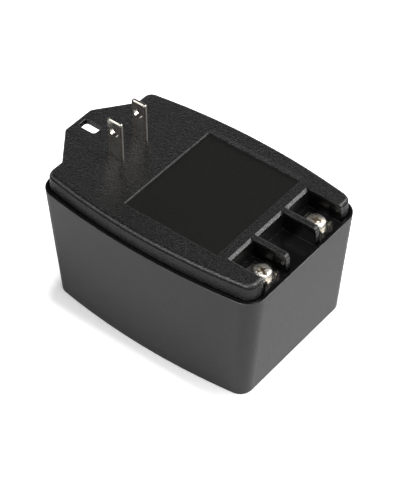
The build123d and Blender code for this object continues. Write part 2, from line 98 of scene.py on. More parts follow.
# Grain size, grain depth and roughness of the plastics inside the case
NYLON = (0.8 * MM, 0.01 * MM, 0.4)
TAPE = (2.5 * MM, 0.02 * MM, 0.25)
BOARD = (1.2 * MM, 0.02 * MM, 0.7)
BRAID = (0.6 * MM, 0.05 * MM, 0.7)
INSULATION = (1.5 * MM, 0.01 * MM, 0.4)

# How many times per metre the tone of plastic and of metal changes
PLASTIC_TONE, METAL_TONE = 45.0, 160.0

# Fine marks in metal, and dents in the screws' heads: how many there are per metre, and their depth
MARKS, MARK_DEPTH = 900.0, 0.004 * MM
DENTS, DENT_DEPTH = 1300.0, 0.36 * MM

# How far a screw's head falls away from its middle, in metres per square metre
HEAD_FALL = 50.0

# The painted shade in a screw's drive recess: depths under the top and radii between which it fades
DRIVE_SHADE_DEEP, DRIVE_SHADE_SHALLOW = 0.5 * MM, 0.1 * MM
DRIVE_SHADE_FULL, DRIVE_SHADE_GONE = 1.5 * MM, 2.0 * MM

# Depth of the joint between two sheets of the core, and half the length of a weld's ripple
JOINT_DEPTH, WELD_RIPPLE = 0.05 * MM, 0.6 * MM

# How deep a coil's ends sink between two layers, as a share of the wires' own depth
END_SINK = 0.8

# Points of a mesh that lie closer than this are one
SAME_PLACE = 0.001 * MM

# Half width of the floor in metres, and the corner radius of the case's foot
FLOOR_HALF = 6.0
FOOT_CORNER = 5.0 * MM

# Heights of a direction, on a ball of radius 1, between which the world's light changes
HORIZON_TOP, OVERHEAD_START = 0.15, 0.55

# Where the lamps point
LAMP_AIM = (0.0, 0.0, 0.03)

# Each lamp's name, place, size in metres, power in watts, and whether it lights matt surfaces too
LAMPS = (
    ("key", (0.45, 0.1, 1.0), (0.7, 0.7), 12.0, True),
    ("right_box", (0.85, 0.66, 0.56), (0.5, 0.5), 12.0, False),
    ("front_box", (0.14, -1.08, 0.5), (0.45, 0.6), 12.0, False),
    ("blade_box", (-0.54, -0.84, 0.68), (0.35, 0.35), 3.0, False),
)

case_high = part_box("case_shell")[1]
cover_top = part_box("cover")[1][2]
blade_low, blade_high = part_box("blade_left")


class MouldingSettings(bpy.types.PropertyGroup):
    """Colours and grain of the two black mouldings, and the places where the cover's finish changes."""

    case_color: bpy.props.FloatVectorProperty(
        name="Case colour",
        description="Colour of the tapered tub",
        subtype="COLOR",
        size=3,
        min=0.0,
        max=1.0,
        default=(0.0035, 0.0035, 0.0035),
    )
    cover_color: bpy.props.FloatVectorProperty(
        name="Cover colour",
        description="Colour of the cover that faces the outlet",
        subtype="COLOR",
        size=3,
        min=0.0,
        max=1.0,
        default=(0.0035, 0.0035, 0.0035),
    )
    recess_color: bpy.props.FloatVectorProperty(
        name="Recess colour",
        description="Colour of the smooth bottom of the shallow recess",
        subtype="COLOR",
        size=3,
        min=0.0,
        max=1.0,
        default=(0.0075, 0.0075, 0.0068),
    )
    grain_size: bpy.props.FloatProperty(
        name="Grain size",
        description="Width of one grain of the spark eroded texture",
        unit="LENGTH",
        min=0.05 * MM,
        default=0.7 * MM,
    )
    grain_depth: bpy.props.FloatProperty(
        name="Grain depth",
        description="Height of the texture's grains",
        unit="LENGTH",
        min=0.0,
        default=0.15 * MM,
    )
    recess_middle: bpy.props.FloatVectorProperty(
        name="Recess middle",
        description="Middle of the cover's shallow recess along X and Y",
        subtype="TRANSLATION",
        size=2,
        default=(6.4 * MM, 0.0),
    )
    recess_half: bpy.props.FloatVectorProperty(
        name="Recess half size",
        description="Half length and half width of the recess",
        subtype="TRANSLATION",
        size=2,
        default=(19.9 * MM, 22.7 * MM),
    )
    insert_middle: bpy.props.FloatVectorProperty(
        name="Insert middle",
        description="Middle of the mould insert that forms the ground round the blades",
        subtype="TRANSLATION",
        size=2,
        default=(-28.5 * MM, 0.0),
    )
    insert_half: bpy.props.FloatVectorProperty(
        name="Insert half size",
        description="Half length and half width of that insert, whose edge leaves a fine line",
        subtype="TRANSLATION",
        size=2,
        default=(13.0 * MM, 14.8 * MM),
    )
    recess_corner: bpy.props.FloatProperty(
        name="Recess corner",
        description="Radius of the recess's corners",
        unit="LENGTH",
        min=0.0,
        default=0.4 * MM,
    )
    insert_corner: bpy.props.FloatProperty(
        name="Insert corner",
        description="Radius of the insert's corners",
        unit="LENGTH",
        min=0.0,
        default=3.5 * MM,
    )
    bay_back: bpy.props.FloatProperty(
        name="Bay back",
        description="Where the back wall of the terminal bays stands along X",
        unit="LENGTH",
        min=0.0,
        default=30.8 * MM,
    )
    bay_half: bpy.props.FloatProperty(
        name="Bay half width",
        description="Half of the width from the left bay's far side to the right bay's",
        unit="LENGTH",
        min=0.0,
        default=22.7 * MM,
    )
    bay_edge: bpy.props.FloatProperty(
        name="Bay edge",
        description="Radius to which the edges inside the bays look rounded",
        unit="LENGTH",
        min=0.0,
        default=0.6 * MM,
    )


class MetalSettings(bpy.types.PropertyGroup):
    """Colours of the plated and bare metals, the core's sheets, and the blades' sheared sides and tips,
    which are painted darker as shade.
    """

    blade_color: bpy.props.FloatVectorProperty(
        name="Blade plating",
        description="Colour of the blades' nickel",
        subtype="COLOR",
        size=3,
        min=0.0,
        max=1.0,
        default=(0.62, 0.585, 0.53),
    )
    screw_color: bpy.props.FloatVectorProperty(
        name="Screw plating",
        description="Colour of the binding screws and terminal plates",
        subtype="COLOR",
        size=3,
        min=0.0,
        max=1.0,
        default=(0.72, 0.69, 0.63),
    )
    core_color: bpy.props.FloatVectorProperty(
        name="Core steel",
        description="Colour of the varnished laminations",
        subtype="COLOR",
        size=3,
        min=0.0,
        max=1.0,
        default=(0.16, 0.17, 0.19),
    )
    wire_color: bpy.props.FloatVectorProperty(
        name="Winding wire",
        description="Colour of the enamelled copper",
        subtype="COLOR",
        size=3,
        min=0.0,
        max=1.0,
        default=(0.5, 0.17, 0.06),
    )
    lamination: bpy.props.FloatProperty(
        name="Lamination",
        description="Thickness of one sheet of the core",
        unit="LENGTH",
        min=0.1 * MM,
        default=0.5 * MM,
    )
    # Painted shade deep in a screw's drive recess
    drive_shade_color: bpy.props.FloatVectorProperty(
        name="Drive shade",
        description="Colour deep in the drive recess of a screw",
        subtype="COLOR",
        size=3,
        min=0.0,
        max=1.0,
        default=(0.42, 0.37, 0.29),
    )
    blade_width: bpy.props.FloatProperty(
        name="Blade width",
        description="Width of a blade outside the cover",
        unit="LENGTH",
        min=0.0,
        default=6.35 * MM,
    )
    # The slopes at a blade's tip are painted darker as shade
    blade_tip: bpy.props.FloatProperty(
        name="Blade tip",
        description="Height of the dull slopes at a blade's tip",
        unit="LENGTH",
        min=0.0,
        default=0.8 * MM,
    )


class InsideSettings(bpy.types.PropertyGroup):
    """Colours of what the case holds."""

    former_color: bpy.props.FloatVectorProperty(
        name="Coil former",
        description="Colour of the coil former's nylon",
        subtype="COLOR",
        size=3,
        min=0.0,
        max=1.0,
        default=(0.62, 0.6, 0.53),
    )
    tape_color: bpy.props.FloatVectorProperty(
        name="Tape",
        description="Colour of the wraps round the windings",
        subtype="COLOR",
        size=3,
        min=0.0,
        max=1.0,
        default=(0.75, 0.52, 0.06),
    )
    tin_color: bpy.props.FloatVectorProperty(
        name="Tinned wire",
        description="Colour of the pins and of the cutoff's bare lead",
        subtype="COLOR",
        size=3,
        min=0.0,
        max=1.0,
        default=(0.7, 0.69, 0.66),
    )
    solder_color: bpy.props.FloatVectorProperty(
        name="Solder",
        description="Colour of the solder joints",
        subtype="COLOR",
        size=3,
        min=0.0,
        max=1.0,
        default=(0.66, 0.66, 0.67),
    )
    board_color: bpy.props.FloatVectorProperty(
        name="Retainer",
        description="Colour of the fibre board that holds the blades",
        subtype="COLOR",
        size=3,
        min=0.0,
        max=1.0,
        default=(0.2, 0.18, 0.16),
    )
    cutoff_color: bpy.props.FloatVectorProperty(
        name="Cutoff",
        description="Colour of the thermal cutoff's can",
        subtype="COLOR",
        size=3,
        min=0.0,
        max=1.0,
        default=(0.7, 0.64, 0.42),
    )
    sleeve_color: bpy.props.FloatVectorProperty(
        name="Sleeve",
        description="Colour of the braid over the cutoff",
        subtype="COLOR",
        size=3,
        min=0.0,
        max=1.0,
        default=(0.75, 0.72, 0.64),
    )
    primary_color: bpy.props.FloatVectorProperty(
        name="Primary leads",
        description="Colour of the insulation on the mains side",
        subtype="COLOR",
        size=3,
        min=0.0,
        max=1.0,
        default=(0.015, 0.015, 0.015),
    )
    secondary_color: bpy.props.FloatVectorProperty(
        name="Secondary leads",
        description="Colour of the insulation on the low voltage side",
        subtype="COLOR",
        size=3,
        min=0.0,
        max=1.0,
        default=(0.65, 0.38, 0.03),
    )


class CoilSettings(bpy.types.PropertyGroup):
    """Sizes of the wires, the coils' corners, the former's opening and pins, and the solder joints."""

    primary_wire: bpy.props.FloatProperty(
        name="Primary wire",
        description="Thickness of the fine wire on the mains side",
        unit="LENGTH",
        min=0.1 * MM,
        default=0.4 * MM,
    )
    secondary_wire: bpy.props.FloatProperty(
        name="Secondary wire",
        description="Thickness of the heavy wire on the low voltage side",
        unit="LENGTH",
        min=0.1 * MM,
        default=1.0 * MM,
    )
    inner_half: bpy.props.FloatVectorProperty(
        name="Inner half size",
        description="Half sizes along X and Z of the opening that the former fills",
        subtype="TRANSLATION",
        size=2,
        default=(10.8 * MM, 16.3 * MM),
    )
    inner_corner: bpy.props.FloatProperty(
        name="Inner corner",
        description="Radius of the opening's corners",
        unit="LENGTH",
        min=0.0,
        default=1.0 * MM,
    )
    outer_corner: bpy.props.FloatProperty(
        name="Outer corner",
        description="Radius of the coil's outer corners",
        unit="LENGTH",
        min=0.0,
        default=3.0 * MM,
    )
    joint_radius: bpy.props.FloatProperty(
        name="Joint radius",
        description="Radius of a solder joint where it wets the metal",
        unit="LENGTH",
        min=0.1 * MM,
        default=1.5 * MM,
    )
    joint_height: bpy.props.FloatProperty(
        name="Joint height",
        description="How far the solder climbs along a lead or a pin",
        unit="LENGTH",
        min=0.1 * MM,
        default=1.4 * MM,
    )
    lead_radius: bpy.props.FloatProperty(
        name="Lead radius",
        description="Radius of an insulated lead",
        unit="LENGTH",
        min=0.1 * MM,
        default=0.7 * MM,
    )
    pin_radius: bpy.props.FloatProperty(
        name="Pin radius",
        description="Radius of one of the former's pins",
        unit="LENGTH",
        min=0.1 * MM,
        default=0.4 * MM,
    )
    pin_height: bpy.props.FloatProperty(
        name="Pin height",
        description="How far a pin stands out of its rail",
        unit="LENGTH",
        min=0.1 * MM,
        default=1.9 * MM,
    )
    pin_pitch: bpy.props.FloatProperty(
        name="Pin pitch",
        description="Distance between the two pins of one rail",
        unit="LENGTH",
        min=0.1 * MM,
        default=7.0 * MM,
    )


class StudioSettings(bpy.types.PropertyGroup):
    """Camera, floor and lamps."""

    azimuth: bpy.props.FloatProperty(
        name="Azimuth",
        description="Direction of the camera round the object, from -Y towards +X",
        unit="ROTATION",
        default=math.radians(39.12),
    )
    elevation: bpy.props.FloatProperty(
        name="Elevation",
        description="Height of the camera's line of sight above the floor",
        unit="ROTATION",
        default=math.radians(44.84),
    )
    roll: bpy.props.FloatProperty(
        name="Roll",
        description="Turn of the camera about its line of sight",
        unit="ROTATION",
        default=math.radians(-0.56),
    )
    focal_length: bpy.props.FloatProperty(
        name="Focal length",
        description="Lens that gives the photograph's perspective",
        unit="CAMERA",
        min=1.0,
        default=139.59,
    )
    aim: bpy.props.FloatVectorProperty(
        name="Aim",
        description="Point of the object that the camera's place is counted from",
        subtype="TRANSLATION",
        size=3,
        default=(0.0, 0.0, 26.0 * MM),
    )
    aim_offset: bpy.props.FloatVectorProperty(
        name="Aim in view",
        description="Where that point lies in the camera's own axes: right, up and ahead",
        subtype="TRANSLATION",
        size=3,
        default=(-0.56 * MM, -0.87 * MM, 655.6 * MM),
    )
    floor_color: bpy.props.FloatVectorProperty(
        name="Floor",
        description="Colour of the floor",
        subtype="COLOR",
        size=3,
        min=0.0,
        max=1.0,
        default=(0.86, 0.86, 0.86),
    )
    foot_taper: bpy.props.FloatVectorProperty(
        name="Foot taper",
        description="How much further in than the rim the case's foot stands, along X and Y",
        subtype="TRANSLATION",
        size=2,
        default=(4.25 * MM, 1.55 * MM),
    )
    # The shadow settings shape a painted shadow: the floor's camera-only glow, weaker near the foot
    shadow_shift: bpy.props.FloatVectorProperty(
        name="Shadow shift",
        description="How far the soft shadow lies off the foot's middle",
        subtype="TRANSLATION",
        size=2,
        default=(2.8 * MM, 0.0),
    )
    shadow_core: bpy.props.FloatProperty(
        name="Shadow core",
        description="Width of the darkest band of the shadow round the foot",
        unit="LENGTH",
        min=0.0,
        default=2.4 * MM,
    )
    shadow_reach: bpy.props.FloatProperty(
        name="Shadow reach",
        description="Distance over which the floor's glow under the shadow fades",
        unit="LENGTH",
        min=0.0,
        default=6.3 * MM,
    )
    contact_glow: bpy.props.FloatProperty(
        name="Contact glow",
        description="How much the camera sees the floor glow where the case stands on it",
        min=0.0,
        max=1.0,
        default=0.36,
    )
    horizon_light: bpy.props.FloatProperty(
        name="Horizon light",
        description="Strength of the world's light near the horizon",
        min=0.0,
        default=1.45,
    )
    overhead_light: bpy.props.FloatProperty(
        name="Overhead light",
        description="Strength of the world's light from above",
        min=0.0,
        default=0.05,
    )


class Finish:
    """A material that is being made: its shader, its Object coordinates and short ways to add nodes."""

    def __init__(self, name, color, roughness, metallic=0.0):
        self.material = bpy.data.materials.new(name)
        self.material.use_nodes = True
        self.tree = self.material.node_tree
        self.shader = self.tree.nodes["Principled BSDF"]
        self.shader.inputs["Base Color"].default_value = (*color, 1.0)
        self.shader.inputs["Roughness"].default_value = roughness
        self.shader.inputs["Metallic"].default_value = metallic
        self.place = self.add("ShaderNodeTexCoord").outputs["Object"]

    def add(self, kind, **values):
        """A new node, with its inputs set by name and everything else set as an attribute."""
        node = self.tree.nodes.new(kind)
        for key, value in values.items():
            if key in node.inputs:
                node.inputs[key].default_value = value
            else:
                setattr(node, key, value)
        return node

    def join(self, source, target):
        """Links an output to an input."""
        self.tree.links.new(source, target)

    def math(self, operation, first, second=0.0):
        """The result of one sum on two values, each a number or an output."""
        node = self.add("ShaderNodeMath", operation=operation)
        for socket, value in zip(node.inputs, (first, second)):
            if hasattr(value, "is_linked"):
                self.join(value, socket)
            else:
                socket.default_value = value
        return node.outputs[0]

    def noise(self, scale, detail=2.0, stretch=(1.0, 1.0, 1.0), roughness=0.5):
        """Smooth noise on Object coordinates, from 0 to 1, finer along an axis with a larger stretch."""
        mapping = self.add("ShaderNodeMapping", Scale=stretch)
        self.join(self.place, mapping.inputs["Vector"])
        node = self.add("ShaderNodeTexNoise", Scale=scale, Detail=detail, Roughness=roughness)
        self.join(mapping.outputs[0], node.inputs["Vector"])
        return node.outputs["Fac"]

    def ramp(self, value, low, high, from_low=0.3, from_high=0.7):
        """Value mapped from one range of numbers to another, held at its ends."""
        node = self.add("ShaderNodeMapRange")
        node.inputs["From Min"].default_value = from_low
        node.inputs["From Max"].default_value = from_high
        node.inputs["To Min"].default_value = low
        node.inputs["To Max"].default_value = high
        self.join(value, node.inputs["Value"])
        return node.outputs["Result"]

    def mix(self, share, first, second):
        """Colour between two colours, each a triple or an output, by a share that is an output."""
        node = self.add("ShaderNodeMix", data_type="RGBA")
        self.join(share, node.inputs["Factor"])
        for index, value in ((6, first), (7, second)):
            if hasattr(value, "is_linked"):
                self.join(value, node.inputs[index])
            else:
                node.inputs[index].default_value = (*value, 1.0)
        return node.outputs[2]

    def bump(self, height, distance, after=None):
        """Adds a bump as deep as height times distance, in metres, on top of a direction if one is given."""
        node = self.add("ShaderNodeBump", Distance=distance)
        self.join(height, node.inputs["Height"])
        if after is not None:
            self.join(after, node.inputs["Normal"])
        self.join(node.outputs["Normal"], self.shader.inputs["Normal"])

    def soft_edges(self, radius, share):
        """The surface's own direction where share is 0, and where it is 1 that of rounded edges."""
        own = self.add("ShaderNodeNewGeometry").outputs["Normal"]
        rounded = self.add("ShaderNodeBevel", samples=8, Radius=radius).outputs["Normal"]
        node = self.add("ShaderNodeMix", data_type="VECTOR")
        self.join(share, node.inputs["Factor"])
        self.join(own, node.inputs[4])
        self.join(rounded, node.inputs[5])
        return node.outputs[1]

    def color(self, output):
        """Sets the base colour from an output."""
        self.join(output, self.shader.inputs["Base Color"])

    def roughness(self, output):
        """Sets the roughness from an output."""
        self.join(output, self.shader.inputs["Roughness"])

    def axes(self):
        """The three Object coordinates as separate outputs."""
        node = self.add("ShaderNodeSeparateXYZ")
        self.join(self.place, node.inputs[0])
        return node.outputs

    def plus(self, first, second):
        """The sum of two values."""
        return self.math("ADD", first, second)

    def times(self, first, second):
        """The product of two values."""
        return self.math("MULTIPLY", first, second)

    def apart(self, value, middle):
        """How far a value lies from a middle, on either side of it."""
        return self.math("ABSOLUTE", self.math("SUBTRACT", value, middle))

    def rise(self, value, start, end):
        """0 up to the start and 1 past the end, with an even rise between them."""
        return self.ramp(value, 0.0, 1.0, start, end)

    def fall(self, value, start, end):
        """1 up to the start and 0 past the end, with an even fall between them."""
        return self.ramp(value, 1.0, 0.0, start, end)

    def between(self, share, first, second):
        """First where share is 0 and second where it is 1, each a number or an output."""
        change = self.math("SUBTRACT", second, first)
        return self.plus(first, self.times(share, change))

    def mottle(self, color, scale, darker, lighter):
        """A colour that wanders between two shades of it."""
        share = self.ramp(self.noise(scale), 0.0, 1.0)
        return self.mix(share, shade(color, darker), shade(color, lighter))

    def edge_distance(self, middle, half, corner):
        """Distance in X and Y from a rounded rectangle's edge, below 0 inside: the length of what lies
        past the corners' centres, or else the nearer side, less the corner's radius."""
        past = []
        for axis, center, reach in zip(self.axes(), middle, half):
            past.append(self.math("SUBTRACT", self.apart(axis, center), reach - corner))
        squares = [self.math("POWER", self.math("MAXIMUM", value, 0.0), 2.0) for value in past]
        outside = self.math("SQRT", self.plus(*squares))
        inside = self.math("MINIMUM", self.math("MAXIMUM", *past), 0.0)
        return self.math("SUBTRACT", self.plus(outside, inside), corner)

    def ridge(self, distance, half_width):
        """1 where the distance is 0, falling evenly to 0 at the half width on both sides."""
        return self.fall(self.math("ABSOLUTE", distance), 0.0, half_width)


def shade(color, factor):
    """A colour made lighter or darker by a factor."""
    return tuple(min(1.0, channel * factor) for channel in color)


def grained(name, color, grain_size, roughness, ior=PLASTIC_IOR):
    """Spark eroded plastic: the material, its grain from 0 to 1, and the gloss that follows it."""
    finish = Finish(name, color, roughness)
    finish.shader.inputs["IOR"].default_value = ior
    grain = finish.noise(1.0 / grain_size, detail=3.0, roughness=0.6)
    gloss = finish.ramp(grain, roughness - GLOSS_SPREAD, roughness + GLOSS_SPREAD)
    return finish, grain, gloss


def plastic_tone(finish, color):
    """The slow change of tone of a moulding."""
    return finish.mottle(color, PLASTIC_TONE, 0.9, 1.1)


def moulded(name, color, grain_size, grain_depth, roughness):
    """Plastic with the same grain and gloss all over, and a slow change of tone."""
    finish, grain, gloss = grained(name, color, grain_size, roughness)
    finish.color(plastic_tone(finish, color))
    finish.roughness(gloss)
    finish.bump(grain, grain_depth)
    return finish


def metal_tone(finish, color):
    """The slow change of tone of a plated metal."""
    return finish.mottle(color, METAL_TONE, 0.86, 1.08)


def marked(name, color, roughness):
    """Metal whose gloss changes from mark to mark: the material, and its marks from 0 to 1."""
    finish = Finish(name, color, roughness, metallic=1.0)
    marks = finish.noise(MARKS, detail=3.0)
    finish.roughness(finish.ramp(marks, 0.7 * roughness, 1.4 * roughness))
    return finish, marks


def plated(name, color, roughness):
    """Plated metal: satin gloss with fine marks and a slow change of tone."""
    finish, marks = marked(name, color, roughness)
    finish.color(metal_tone(finish, color))
    finish.bump(marks, MARK_DEPTH)
    return finish


def give(node, finish):
    """Puts a finish on a CAD node."""
    mesh = NODES[node].data
    mesh.materials.clear()
    mesh.materials.append(finish.material)


def new_piece(name, vertices, faces, finish):
    """A mesh object from arrays of points and faces, smooth, with one finish."""
    mesh = bpy.data.meshes.new(name)
    mesh.from_pydata(vertices.reshape(-1, 3).tolist(), [], faces.tolist())
    mesh.polygons.foreach_set("use_smooth", np.ones(len(mesh.polygons), bool))
    mesh.materials.append(finish.material)
    piece = bpy.data.objects.new(name, mesh)
    bpy.context.scene.collection.objects.link(piece)
    return piece


def close_poles(piece):
    """Merges the points that lie on each other, such as those of a pole."""
    shape = bmesh.new()
    shape.from_mesh(piece.data)
    bmesh.ops.remove_doubles(shape, verts=shape.verts, dist=SAME_PLACE)
    shape.to_mesh(piece.data)
    shape.free()


class TRANSFORMER_OT_case(bpy.types.Operator):
    """Finishes the tapered tub in grained plastic, polished on the rim where the mould shuts."""

    bl_idname = "transformer.case"
    bl_label = "Case"

    def execute(self, context):
        s = context.scene.transformer_mouldings
        finish, grain, gloss = grained("case_plastic", s.case_color, s.grain_size, WALL_ROUGHNESS)
        rim = finish.rise(finish.axes()["Z"], case_high[2] - RIM_START, case_high[2] - RIM_FULL)
        finish.color(plastic_tone(finish, s.case_color))
        finish.roughness(finish.between(rim, gloss, RIM_ROUGHNESS))
        finish.bump(finish.times(grain, finish.between(rim, WALL_GRAIN, RIM_GRAIN)), s.grain_depth)
        give("case_shell", finish)
        return {"FINISHED"}


class TRANSFORMER_OT_cover(bpy.types.Operator):
    """Finishes the cover: grained face, smoother recess and bays, and the mould's fine lines."""

    bl_idname = "transformer.cover"
    bl_label = "Cover"

    def execute(self, context):
        s = context.scene.transformer_mouldings
        plastic = (s.cover_color, s.grain_size, COVER_ROUGHNESS, COVER_IOR)
        finish, grain, gloss = grained("cover_plastic", *plastic)
        x, y, z = finish.axes()
        off_recess = finish.edge_distance(s.recess_middle, s.recess_half, s.recess_corner)
        recess = finish.fall(off_recess, -FADE, FADE)
        past_back = finish.rise(x, s.bay_back + FADE, s.bay_back + 2 * FADE)
        within = finish.fall(finish.math("ABSOLUTE", y), s.bay_half - FADE, s.bay_half + FADE)
        in_bays = finish.times(past_back, within)
        deep = finish.times(in_bays, finish.fall(z, cover_top - BAY_FULL, cover_top - BAY_START))
        finish.color(finish.mix(recess, s.cover_color, s.recess_color))
        gloss = finish.between(recess, gloss, COVER_ROUGHNESS)
        finish.roughness(finish.between(deep, gloss, BAY_ROUGHNESS))
        depth = finish.between(deep, finish.between(recess, FACE_GRAIN, RECESS_GRAIN), BAY_GRAIN)
        texture = finish.times(finish.times(grain, depth), s.grain_depth)
        height = finish.plus(texture, self.mould_lines(finish, s))
        finish.bump(height, 1.0, after=finish.soft_edges(s.bay_edge, in_bays))
        give("cover", finish)
        return {"FINISHED"}

    def mould_lines(self, finish, s):
        """Height of the fine lines: a raised hairline outside the recess's edge next to the blades, the
        witness of the insert round the blades, and a brink along the recess's far long side."""
        x, y, _ = finish.axes()
        end, side = s.recess_half
        hair_place = s.recess_middle[0] - end - HAIR_GAP
        hair = finish.ridge(finish.math("SUBTRACT", x, hair_place), HAIR_HALF)
        hair = finish.times(hair, finish.fall(finish.math("ABSOLUTE", y), side, side + 2 * FADE))
        off_insert = finish.edge_distance(s.insert_middle, s.insert_half, s.insert_corner)
        witness = finish.ridge(off_insert, WITNESS_HALF)
        top = side + BRINK_CLIMB
        brink = finish.math("MINIMUM", finish.rise(y, side, top), finish.fall(y, top, top + BRINK_FALL))
        beside = finish.apart(x, s.recess_middle[0])
        brink = finish.times(brink, finish.fall(beside, end - BRINK_INSIDE, end + BRINK_OUTSIDE))
        lines = finish.plus(finish.times(hair, HAIR_HEIGHT), finish.times(witness, WITNESS_HEIGHT))
        return finish.plus(lines, finish.times(brink, BRINK_HEIGHT))


class TRANSFORMER_OT_blades(bpy.types.Operator):
    """Finishes both plug blades in satin nickel, rougher on their sheared sides, with painted shade
    darkening those sides and their tips.
    """

    bl_idname = "transformer.blades"
    bl_label = "Blades"

    def execute(self, context):
        s = context.scene.transformer_metals
        color = s.blade_color
        finish = Finish("blade_metal", color, roughness=0.15, metallic=1.0)
        x, _, z = finish.axes()
        side = finish.apart(x, (blade_low[0] + blade_high[0]) / 2)
        sheared = finish.rise(side, s.blade_width / 2 - FADE, s.blade_width / 2 - 0.2 * FADE)
        slope = blade_high[2] - s.blade_tip
        tip = finish.rise(z, slope - FADE, slope + FADE)
        flat = finish.mottle(color, METAL_TONE, 0.7, 0.85)
        # Darker sides: partly torn metal, partly painted shade. Darker tip slopes: painted shade
        dull_and_shaded = finish.mix(tip, shade(color, 0.5), shade(color, 0.25))
        finish.color(finish.mix(finish.math("MAXIMUM", sheared, tip), flat, dull_and_shaded))
        marks = finish.noise(MARKS, detail=3.0)
        rolled, torn = finish.ramp(marks, 0.1, 0.2), finish.ramp(marks, 0.4, 0.55)
        finish.roughness(finish.between(sheared, rolled, torn))
        finish.bump(finish.noise(MARKS, detail=3.0, stretch=(4.0, 4.0, 0.4)), MARK_DEPTH)
        give("blade_left", finish)
        give("blade_right", finish)
        return {"FINISHED"}


class TRANSFORMER_OT_terminals(bpy.types.Operator):
    """Finishes the binding screws, domed, dented and with painted light, and the plates under them, painted
    darker as shade.
    """

    bl_idname = "transformer.terminals"
    bl_label = "Screw terminals"

    def execute(self, context):
        s = context.scene.transformer_metals
        # The plates take the screws' plating painted darker as shade
        plate = plated("terminal_metal", shade(s.screw_color, 0.4), roughness=0.25)
        screw = self.screw(s)
        for side in ("left", "right"):
            give(f"terminal_screw_{side}", screw)
            give(f"terminal_plate_{side}", plate)
        return {"FINISHED"}

    def screw(self, s):
        """Metal painted lighter than its plating as painted light, whose height falls as the square of the
        distance from the head's middle, with painted shade deep in the drive recess near that middle."""
        # The screw's colour is its plating painted lighter as painted light
        finish, _ = marked("screw_metal", shade(s.screw_color, 1.2), roughness=0.34)
        low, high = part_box("terminal_screw_right")
        x, y, z = finish.axes()
        along = finish.math("SUBTRACT", x, (low[0] + high[0]) / 2)
        across = finish.math("SUBTRACT", finish.math("ABSOLUTE", y), (low[1] + high[1]) / 2)
        away = finish.plus(finish.times(along, along), finish.times(across, across))
        dents = finish.times(finish.noise(DENTS), DENT_DEPTH)
        finish.bump(finish.plus(finish.times(away, -HEAD_FALL), dents), 1.0)
        # Painted shade: a darker brown deep in the drive recess, near the head's middle
        deep = finish.fall(z, high[2] - DRIVE_SHADE_DEEP, high[2] - DRIVE_SHADE_SHALLOW)
        near = finish.fall(away, DRIVE_SHADE_FULL**2, DRIVE_SHADE_GONE**2)
        finish.color(finish.mix(finish.times(deep, near), shade(s.screw_color, 1.25), s.drive_shade_color))
        return finish


class TRANSFORMER_OT_core(bpy.types.Operator):
    """Finishes the two stacks with the fine lines of their sheets, and the weld beads."""

    bl_idname = "transformer.core"
    bl_label = "Core"

    def execute(self, context):
        s = context.scene.transformer_metals
        finish = Finish("core_steel", s.core_color, roughness=0.45, metallic=0.8)
        line = finish.math("PINGPONG", finish.axes()["Z"], s.lamination / 2)
        sheet = finish.rise(line, 0.0, s.lamination / 6)
        finish.color(finish.mix(sheet, shade(s.core_color, 0.35), s.core_color))
        finish.bump(sheet, JOINT_DEPTH)
        give("e_core", finish)
        give("i_core", finish)
        bead = shade(s.core_color, 1.8)
        weld, _ = marked("weld_metal", bead, roughness=0.4)
        weld.color(metal_tone(weld, bead))
        weld.bump(weld.math("PINGPONG", weld.axes()["Z"], WELD_RIPPLE), 1.0)
        give("core_welds", weld)
        return {"FINISHED"}


class TRANSFORMER_OT_former(bpy.types.Operator):
    """Finishes the coil former, its pins and the wraps of both windings."""

    bl_idname = "transformer.former"
    bl_label = "Coil former"

    def execute(self, context):
        s = context.scene.transformer_inside
        give("bobbin", moulded("bobbin_nylon", s.former_color, *NYLON))
        give("bobbin_pins", plated("pin_metal", s.tin_color, roughness=0.3))
        tape = moulded("winding_tape", s.tape_color, *TAPE)
        give("primary_tape", tape)
        give("secondary_tape", tape)
        return {"FINISHED"}


def rounded_loop(half, corner, steps):
    """Points round a rectangle with rounded corners: four quarter circles, each followed by a straight
    side to the next, with the same number of steps on every stretch. One row (across, up) per point."""
    turn = np.linspace(0.0, np.pi / 2, steps)
    start = np.arange(4)[:, None] * np.pi / 2
    signs = np.array([(1, 1), (-1, 1), (-1, -1), (1, -1)])
    middles = signs * (np.array(half) - corner)
    arcs = middles[:, None] + corner * np.stack([np.cos(start + turn), np.sin(start + turn)], axis=2)
    share = np.linspace(0.0, 1.0, steps + 1)[1:-1, None]
    sides = arcs[:, -1:] * (1.0 - share) + np.roll(arcs, -1, axis=0)[:, :1] * share
    return np.concatenate([arcs, sides], axis=1).reshape(-1, 2)


def wire_ridge(place, wire):
    """How deep a row of round wires lies under its own tops: the radius less the height of a circle's
    arc at the place's distance from the middle of its wire."""
    offset = (place / wire) % 1.0 * 2.0 - 1.0
    return wire / 2 * (1.0 - np.sqrt(1.0 - np.minimum(offset**2, 1.0)))


def closed_grid(rows, columns):
    """Four-cornered faces of a grid that closes on itself both ways."""
    index = np.arange(rows * columns).reshape(rows, columns)
    below, beside = np.roll(index, -1, axis=0), np.roll(index, -1, axis=1)
    opposite = np.roll(below, -1, axis=1)
    return np.stack([index, below, opposite, beside], axis=2).reshape(-1, 4)


